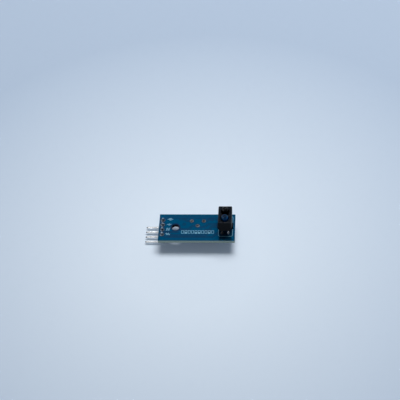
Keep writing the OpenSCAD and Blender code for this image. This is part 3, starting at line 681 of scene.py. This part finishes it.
def dull_and_shaded_tin_material(look):
    """Dull brownish tin, darker in patches, on the trimmer's joints and pins; on the emitter's first lead and
    fillet, a shaded copy of the bright solder and plating on its like leads: painted shade.
    """
    s = Shade("dull_and_shaded_tin", look.dull_and_shaded, 0.45, metal=0.8)
    patch = s.spread(s.noise(2600, 3), 0.35, 0.65)
    s.set(colour=s.mix(patch, look.dull_and_shaded, [c * 0.35 for c in look.dull_and_shaded]), rough=s.spread(patch, 0, 1, 0.38, 0.55))
    s.bump(s.noise(5200, 2), 0.000006, 0.5)
    return s.material


def rim_painted_highlight(s):
    """Where the rim of the sensor's block gets its painted highlight, 0 to 1. In the block's own upright frame, a
    point's insets from the nearest side and from the top add up to the rim's radius where the round begins, and
    to
    0.59 of it in the middle of the round. The near end gets most, and of the round the upper half alone."""
    upright = s.add("ShaderNodeMapping", vector_type="TEXTURE")
    s.put(s.place, upright.inputs["Vector"])
    upright.inputs["Location"].default_value = [c * MM for c in BLOCK_FOOT]
    upright.inputs["Rotation"].default_value = (-math.radians(BLOCK_LEAN), 0, 0)
    place = s.split(upright.outputs["Vector"])
    past = [s.math("SUBTRACT", s.math("ABSOLUTE", place[way]), half * MM) for way, half in zip("XY", BLOCK_HALF)]
    below = s.math("SUBTRACT", place["Z"], BLOCK_TOP * MM)
    inset = s.math("ADD", s.math("MAXIMUM", *past), below)
    end = s.spread(place["Y"], -4.6 * MM, -5.0 * MM, 0.25, 1.0)
    upper = s.math("MULTIPLY", s.spread(below, -0.6 * BLOCK_RIM * MM, -0.35 * BLOCK_RIM * MM), end)
    return s.math("MULTIPLY", s.spread(inset, -0.9 * BLOCK_RIM * MM, -0.65 * BLOCK_RIM * MM), upper)


def moulded_material(name, colour, rough, grain=2600, specular=0.3, highlight=None):
    """Moulded plastic: a fine spark eroded grain, a little duller on its high spots, and a broad faint mottle.
    The colour given as highlight is a painted highlight on the rim of the sensor's block, broken up by noise."""
    s = Shade(name, colour, rough, specular=specular)
    fine = s.noise(grain, 3)
    broad = s.noise(grain / 9, 2)
    tone = s.mix(s.spread(broad, 0.35, 0.65), [c * 0.88 for c in colour], [c * 1.1 for c in colour])
    # Painted highlight on the rim of the sensor's block, broken up by noise
    if highlight is not None:
        highlight_breaks = s.spread(s.noise(1300, 3), 0.3, 0.6, 0.4, 1.0)
        tone = s.mix(s.math("MULTIPLY", rim_painted_highlight(s), highlight_breaks), tone, highlight)
    s.set(colour=tone, rough=s.spread(fine, 0.3, 0.7, rough - 0.08, rough + 0.08))
    s.bump(fine, 0.000006, 0.6)
    return s.material


def resin_material(name, colour, painted_shade, glow):
    """Cast resin of an eye: tinted and glossy, with painted light and shade in its colour. Painted shade darkens
    the dome's top, its body and, by Layer Weight, its edges seen edge on; painted light lightens a band round the
    dome's foot, and on the emitter also a painted caustic spot opposite the lamp. Light spreads inside it."""
    s = Shade(name, colour, 0.07, specular=0.09)
    swirl = s.spread(s.noise(700, 2), 0.35, 0.65, 0.0, 0.25)
    body = s.mix(swirl, colour, painted_shade)
    # Painted light in a band round the dome's foot, and painted shade above and below it
    z = s.split()["Z"]
    over = s.spread(z, (DOME_FOOT - 0.5) * MM, DOME_FOOT * MM)
    under = s.spread(z, (DOME_FOOT + 0.3) * MM, DOME_TOP * MM, 1.0, 0.0)
    # Painted shade: the resin darkens towards its edges seen edge on
    edge_shade = s.add("ShaderNodeLayerWeight")
    edge_shade.inputs["Blend"].default_value = 0.4
    middle = s.spread(edge_shade.outputs["Facing"], 0.25, 0.75, 1.0, 0.0)
    # Painted caustic: a light spot on the emitter opposite the lamp
    spot = s.spread(s.distance(EMITTER_CAUSTIC), *(r * MM for r in CAUSTIC_REACH), 1.0, 0.0)
    foot = s.math("MULTIPLY", s.math("MULTIPLY", over, under), middle)
    lit = s.math("MAXIMUM", foot, spot)
    s.set(colour=s.mix(lit, painted_shade, body))
    s.shader.inputs["Subsurface Weight"].default_value = glow
    s.shader.inputs["Subsurface Radius"].default_value = (0.2, 0.55, 1.0)
    s.shader.inputs["Subsurface Scale"].default_value = 0.0034
    s.shader.inputs["IOR"].default_value = 1.53
    return s.material


def chip_material():
    """Chip resistor: black film on its outer face, 0.36 mm and more below its lands, over white alumina."""
    s = Shade("chip_resistor", (0.02, 0.02, 0.022), 0.42, specular=0.4)
    film = s.math("LESS_THAN", s.split()["Z"], (UNDER - LAND - 0.36) * MM)
    s.set(colour=s.mix(film, (0.62, 0.61, 0.57), (0.018, 0.018, 0.02)))
    s.bump(s.noise(5200, 2), 0.000004, 0.5)
    return s.material


def studio_world(look):
    """Light from all round. Its strength follows the cosine between a direction and the one towards the key
    lamp, from dim away from it to fill on its side. Shiny surfaces also see a brighter sky on that side, a small
    bright patch and a pale window. Each row below holds a way, the two cosines between which that part of the
    light grows, and its strengths there."""
    world = bpy.data.worlds.new("studio")
    world.use_nodes = True
    tree = world.node_tree
    sky = next(n for n in tree.nodes if n.type == "BACKGROUND")
    sky.inputs["Color"].default_value = (0.86, 0.92, 1.0, 1)
    place = tree.nodes.new("ShaderNodeTexCoord")
    path = tree.nodes.new("ShaderNodeLightPath")
    parts = []
    for way, *reach in ((KEY_PLACE, -0.5, 0.7, look.dim, look.fill),
                        (MIRRORED_PLACE, -0.3, 0.9, 0.16, look.mirrored),
                        (GLINT, 0.982, 0.993, 0.0, look.glint),
                        (WINDOW, 0.84, 0.95, 0.0, look.window)):
        dot = tree.nodes.new("ShaderNodeVectorMath")
        dot.operation = "DOT_PRODUCT"
        dot.inputs[1].default_value = Vector(way).normalized()
        tree.links.new(place.outputs["Generated"], dot.inputs[0])
        step = tree.nodes.new("ShaderNodeMapRange")
        step.interpolation_type = "SMOOTHSTEP"
        for key, value in zip(RANGE, reach):
            step.inputs[key].default_value = value
        tree.links.new(dot.outputs["Value"], step.inputs["Value"])
        parts.append(step.outputs["Result"])
    lit, seen, *others = parts
    for part in others:
        both = tree.nodes.new("ShaderNodeMath")
        tree.links.new(seen, both.inputs[0])
        tree.links.new(part, both.inputs[1])
        seen = both.outputs[0]
    total = tree.nodes.new("ShaderNodeMath")
    total.operation = "MULTIPLY_ADD"
    tree.links.new(seen, total.inputs[0])
    tree.links.new(path.outputs["Is Glossy Ray"], total.inputs[1])
    tree.links.new(lit, total.inputs[2])
    tree.links.new(total.outputs[0], sky.inputs["Strength"])
    return world


def paint(material, *names):
    """The material in every slot of the named nodes, whose meshes stay as they are."""
    for name in names:
        piece = NODES[name]
        if not piece.material_slots:
            piece.data.materials.append(material)
        for place in piece.material_slots:
            place.material = material


def named(start):
    """The names of all nodes that begin with the given words."""
    return sorted(n for n in NODES if n.startswith(start))


def dress(piece, material):
    """A new piece gets its material and rides on the module."""
    piece.data.materials.append(material)
    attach(piece, MODULE)
    return piece


# Operators


class LINESENSOR_OT_board(bpy.types.Operator):
    """Make the board with its copper under the mask, and finish its print and lands"""

    bl_idname = "line_sensor.board"
    bl_label = "Board"

    def execute(self, context):
        look = context.scene.line_sensor_board
        board = dress(masked_board(look), mask_material(look))
        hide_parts("circuit_board")
        ink, mask = list(look.ink), list(look.mask_on_copper)
        ink_material("print_ink", ink, mask, look.thick_print)
        paint(ink_material("thin_ink", ink, mask, look.thin_print), "sensor_outline_print", "code_print")
        paint(land_material(context.scene.line_sensor_metal), "top_lands", "bottom_lands")
        return {"FINISHED"}


class LINESENSOR_OT_print(bpy.types.Operator):
    """Print a plain sign beside each header pin, and the outlines of the pieces under the board"""

    bl_idname = "line_sensor.print"
    bl_label = "Print"

    def execute(self, context):
        look = context.scene.line_sensor_board
        ink = bpy.data.materials["print_ink"]
        high = TOP + look.ink_height / MM
        wave = np.linspace(0, 1, 25)
        lamp = [[(-11.67, 4.29), (-11.03, 4.29)], [(-11.35, 3.97), (-11.35, 4.61)],
                [(-12.55, 4.29), (-11.99, 4.29)], [(-10.71, 4.29), (-10.2, 4.29)]]
        earth = [[(-12.75, 1.47), (-11.9, 1.47)], [(-11.78, 0.85), (-11.78, 2.09)],
                 [(-11.38, 1.07), (-11.38, 1.87)], [(-10.98, 1.27), (-10.98, 1.67)]]
        pulses = [[(-12.95, -1.6), (-12.62, -1.6), (-12.62, -0.55), (-12.1, -0.55), (-12.1, -1.6),
                   (-11.58, -1.6), (-11.58, -0.55), (-11.2, -0.55)]]
        swing = [np.stack([-12.9 + 1.7 * wave, -3.62 + 0.5 * np.sin(wave * 4 * np.pi)], 1)]
        signs = [ribbon(circle_path(-11.35, 4.29, 0.56), 0.16, TOP, high, closed=True)]
        signs += [ribbon(path, 0.16, TOP, high) for path in lamp + earth + pulses + swing]
        dress(put_mesh("pin_signs", *join(signs), smooth=False), ink)
        low = UNDER - look.ink_height / MM
        marks = [ribbon(box_path(*COMPARATOR, 5.4, 3.1), 0.18, low, UNDER, closed=True),
                 ribbon(circle_path(4.0, -1.45, 0.14, 20), 0.16, low, UNDER, closed=True),
                 ribbon(box_path(0.25, 2.1, 7.1, 7.5), 0.18, low, UNDER, closed=True)]
        for x, y, turn in CHIPS:
            along, across = (1.5, 2.9) if turn else (2.9, 1.5)
            marks.append(ribbon(box_path(x, y, along, across), 0.14, low, UNDER, closed=True))
        for x, y, _ in LAMPS:
            marks.append(ribbon(box_path(x, y, 1.9, 3.5), 0.14, low, UNDER, closed=True))
            marks.append(ribbon([(x - 0.9, y + 2.0), (x + 0.9, y + 2.0)], 0.2, low, UNDER))
        dress(put_mesh("under_marks", *join(marks), smooth=False), ink)
        return {"FINISHED"}


class LINESENSOR_OT_solder(bpy.types.Operator):
    """Make the solder joints of the header, the trimmer and the sensor"""

    bl_idname = "line_sensor.solder"
    bl_label = "Solder joints"

    def execute(self, context):
        look = context.scene.line_sensor_metal
        solder, dull_and_shaded = solder_material(look), dull_and_shaded_tin_material(look)
        rng = np.random.default_rng(look.seed)
        jobs = [(f"header_joint_{i + 1}", spot, HEADER_SOLDER) for i, spot in enumerate(HEADER_SPOTS)]
        jobs += [(f"trimmer_joint_{i + 1}", spot, TRIMMER_SOLDER) for i, spot in enumerate(TRIMMER_SPOTS)]
        jobs += [(name, spot, LEAD_SOLDER) for name, spot in zip(LEAD_JOINTS, LEAD_SPOTS)]
        for name, (x, y), size in jobs:
            down = name in LEAD_JOINTS
            foot = UNDER - LAND if down else TOP + LAND
            mound = solder_mound(x, y, foot, *size, down, look.unevenness, rng)
            piece = put_mesh(name + "_solder", *mound)
            dress(piece, dull_and_shaded if name.startswith("trimmer") else solder)
            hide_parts(name)
        # Painted light and shade: the emitter's first fillet gets the dull tin, the others the bright solder
        lit_tin = lit_solder_material(look)
        for name, (x, y) in zip(LEAD_JOINTS, LEAD_SPOTS):
            mound = solder_mound(x, y, TOP + LAND, *FILLET, False, look.unevenness, rng)
            piece = put_mesh(name.replace("joint", "fillet"), *mound)
            dress(piece, dull_and_shaded if name == "emitter_joint_1" else lit_tin)
        paint(solder, "chip_solder", "chip_ends")
        paint(land_material(look), *named("comparator_lead_"))
        return {"FINISHED"}


class LINESENSOR_OT_pins(bpy.types.Operator):
    """Finish the header's block and pins, and the leads of the sensor and the trimmer"""

    bl_idname = "line_sensor.pins"
    bl_label = "Header and leads"

    def execute(self, context):
        look = context.scene.line_sensor_metal
        paint(pin_material(look), *named("header_pin_"), "emitter_lead_2", *named("detector_lead_"))
        # Painted shade: the emitter's first lead gets the dull tin, its like leads the bright plating
        paint(bpy.data.materials["dull_and_shaded_tin"], "emitter_lead_1", *named("trimmer_pin_"))
        black = context.scene.line_sensor_sensor.housing
        paint(moulded_material("header_plastic", black, 0.46), "header_block")
        return {"FINISHED"}


class LINESENSOR_OT_sensor(bpy.types.Operator):
    """Finish the sensor's housing and its two eyes"""

    bl_idname = "line_sensor.sensor"
    bl_label = "Sensor"

    def execute(self, context):
        look = context.scene.line_sensor_sensor
        # The housing's rim gets a painted highlight
        plastic = moulded_material("sensor_plastic", look.housing, 0.42, specular=0.07, highlight=list(look.highlighted))
        paint(plastic, "sensor_housing")
        paint(moulded_material("die_crystal", (0.16, 0.14, 0.13), 0.35), "emitter_die", "detector_die")
        tint, dark = list(look.emitter), list(look.detector)
        # The darker colour given to each eye's resin is its painted shade
        paint(resin_material("emitter_resin", tint, [c * 0.07 for c in tint], 1.0), "emitter")
        paint(resin_material("detector_resin", dark, [c * 0.5 for c in dark], 0.0), "detector")
        return {"FINISHED"}


class LINESENSOR_OT_trimmer(bpy.types.Operator):
    """Finish the trimmer under the board"""

    bl_idname = "line_sensor.trimmer"
    bl_label = "Trimmer"

    def execute(self, context):
        look = context.scene.line_sensor_trimmer
        paint(moulded_material("trimmer_plastic", look.housing, 0.4), "trimmer_housing")
        paint(moulded_material("rotor_plastic", look.rotor, 0.5), "trimmer_rotor")
        paint(moulded_material("element_ceramic", (0.74, 0.72, 0.66), 0.7), "trimmer_element")
        paint(moulded_material("backfill_resin", (0.02, 0.035, 0.09), 0.55), "trimmer_backfill")
        wiper = Shade("wiper_metal", (0.72, 0.52, 0.24), 0.3, metal=1.0)
        wiper.set(rough=wiper.spread(wiper.noise(4000, 2), 0.3, 0.7, 0.22, 0.4))
        paint(wiper.material, "trimmer_wiper")
        return {"FINISHED"}


class LINESENSOR_OT_chips(bpy.types.Operator):
    """Finish the comparator, the chips and the lamps under the board"""

    bl_idname = "line_sensor.chips"
    bl_label = "Comparator and chips"

    def execute(self, context):
        black = list(context.scene.line_sensor_sensor.housing)
        paint(moulded_material("comparator_plastic", black, 0.58, grain=4200), "comparator_body")
        paint(chip_material(), *named("resistor_"))
        paint(moulded_material("capacitor_ceramic", (0.36, 0.24, 0.12), 0.5), *named("capacitor_"))
        lamp = Shade("lamp_resin", (0.72, 0.76, 0.6), 0.16, specular=0.5)
        base = lamp.math("GREATER_THAN", lamp.split()["Z"], (UNDER - LAND - 0.35) * MM)
        lamp.set(colour=lamp.mix(base, (0.74, 0.78, 0.62), (0.62, 0.6, 0.42)))
        paint(lamp.material, "power_lamp", "signal_lamp")
        return {"FINISHED"}


class LINESENSOR_OT_stage(bpy.types.Operator):
    """Set up the floor, the lamp, the sky and the camera"""

    bl_idname = "line_sensor.stage"
    bl_label = "Stage"

    def execute(self, context):
        look = context.scene.line_sensor_stage
        scene = context.scene
        side = np.linspace(-FLOOR_HALF, FLOOR_HALF, 41)
        x, y = np.meshgrid(side, side, indexing="ij")
        quads = grid_cells(np.arange(x.size).reshape(x.shape))
        floor = put_mesh("floor", np.stack([x.ravel(), y.ravel(), np.zeros(x.size)], 1), quads)
        s = Shade("floor_paper", look.floor, 0.85, specular=0.1)
        # Painted pool of light: the floor's colour is lighter round the object and darker further out
        far = s.spread(s.distance(LIGHT_POOL_MIDDLE), *(r * MM for r in LIGHT_POOL_REACH))
        s.set(colour=s.mix(far, look.floor, look.floor_past_light_pool))
        # Painted glow: the floor's emission, seen by the camera and by shiny surfaces only, lifts the shadow on
        # it
        s.shader.inputs["Emission Color"].default_value = (*look.floor_painted_glow, 1)
        path = s.add("ShaderNodeLightPath")
        seen = s.math("MAXIMUM", path.outputs["Is Camera Ray"], path.outputs["Is Glossy Ray"])
        seen = s.math("MAXIMUM", seen, path.outputs["Is Transmission Ray"])
        s.put(seen, s.shader.inputs["Emission Strength"])
        floor.data.materials.append(s.material)

        scene.world = studio_world(look)

        key = bpy.data.lights.new("key", "AREA")
        key.shape = "ELLIPSE"
        key.size, key.size_y = KEY_SIZE
        key.energy = look.key
        key.color = (1.0, 0.98, 0.95)
        lamp = bpy.data.objects.new("key", key)
        scene.collection.objects.link(lamp)
        lamp.location = KEY_PLACE
        lamp.visible_glossy = False
        lamp.rotation_mode = "QUATERNION"
        lamp.rotation_quaternion = (-Vector(KEY_PLACE)).to_track_quat("-Z", "Y")

        lens = bpy.data.cameras.new("camera")
        lens.sensor_width = 36
        lens.lens = 18 / math.tan(look.view_angle / 2)
        lens.clip_start, lens.clip_end = 0.01, 10
        camera = bpy.data.objects.new("camera", lens)
        scene.collection.objects.link(camera)
        aim = (Vector(CAMERA_AIM) - Vector(CAMERA_PLACE)).to_track_quat("-Z", "Y").to_matrix().to_4x4()
        roll = Matrix.Rotation(math.radians(CAMERA_ROLL), 4, "Z")
        camera.matrix_world = Matrix.Translation(CAMERA_PLACE) @ aim @ roll
        scene.camera = camera
        scene.view_settings.view_transform = "Standard"
        return {"FINISHED"}


class LINESENSOR_PT_panel(bpy.types.Panel):
    """Steps and values of the sensor module"""

    bl_idname = "LINESENSOR_PT_panel"
    bl_label = "Line sensor"
    bl_space_type = "VIEW_3D"
    bl_region_type = "UI"
    bl_category = "Line sensor"

    def draw(self, context):
        for step in STEPS:
            self.layout.operator(step.bl_idname)
        for group in GROUPS:
            look = getattr(context.scene, group)
            box = self.layout.box()
            for key in look.__annotations__:
                box.prop(look, key)


STEPS = (
    LINESENSOR_OT_stage,
    LINESENSOR_OT_board,
    LINESENSOR_OT_print,
    LINESENSOR_OT_solder,
    LINESENSOR_OT_pins,
    LINESENSOR_OT_sensor,
    LINESENSOR_OT_trimmer,
    LINESENSOR_OT_chips,
)
GROUPS = {
    "line_sensor_board": BoardLook,
    "line_sensor_metal": MetalLook,
    "line_sensor_sensor": SensorLook,
    "line_sensor_trimmer": TrimmerLook,
    "line_sensor_stage": StageLook,
}


def register():
    for cls in (*GROUPS.values(), *STEPS, LINESENSOR_PT_panel):
        bpy.utils.register_class(cls)
    for name, cls in GROUPS.items():
        setattr(bpy.types.Scene, name, PointerProperty(type=cls))


def unregister():
    for name in GROUPS:
        delattr(bpy.types.Scene, name)
    for cls in reversed((*GROUPS.values(), *STEPS, LINESENSOR_PT_panel)):
        bpy.utils.unregister_class(cls)


def main():
    register()
    for step in STEPS:
        group, name = step.bl_idname.split(".")
        getattr(getattr(bpy.ops, group), name)()


if __name__ == "__main__":
    main()
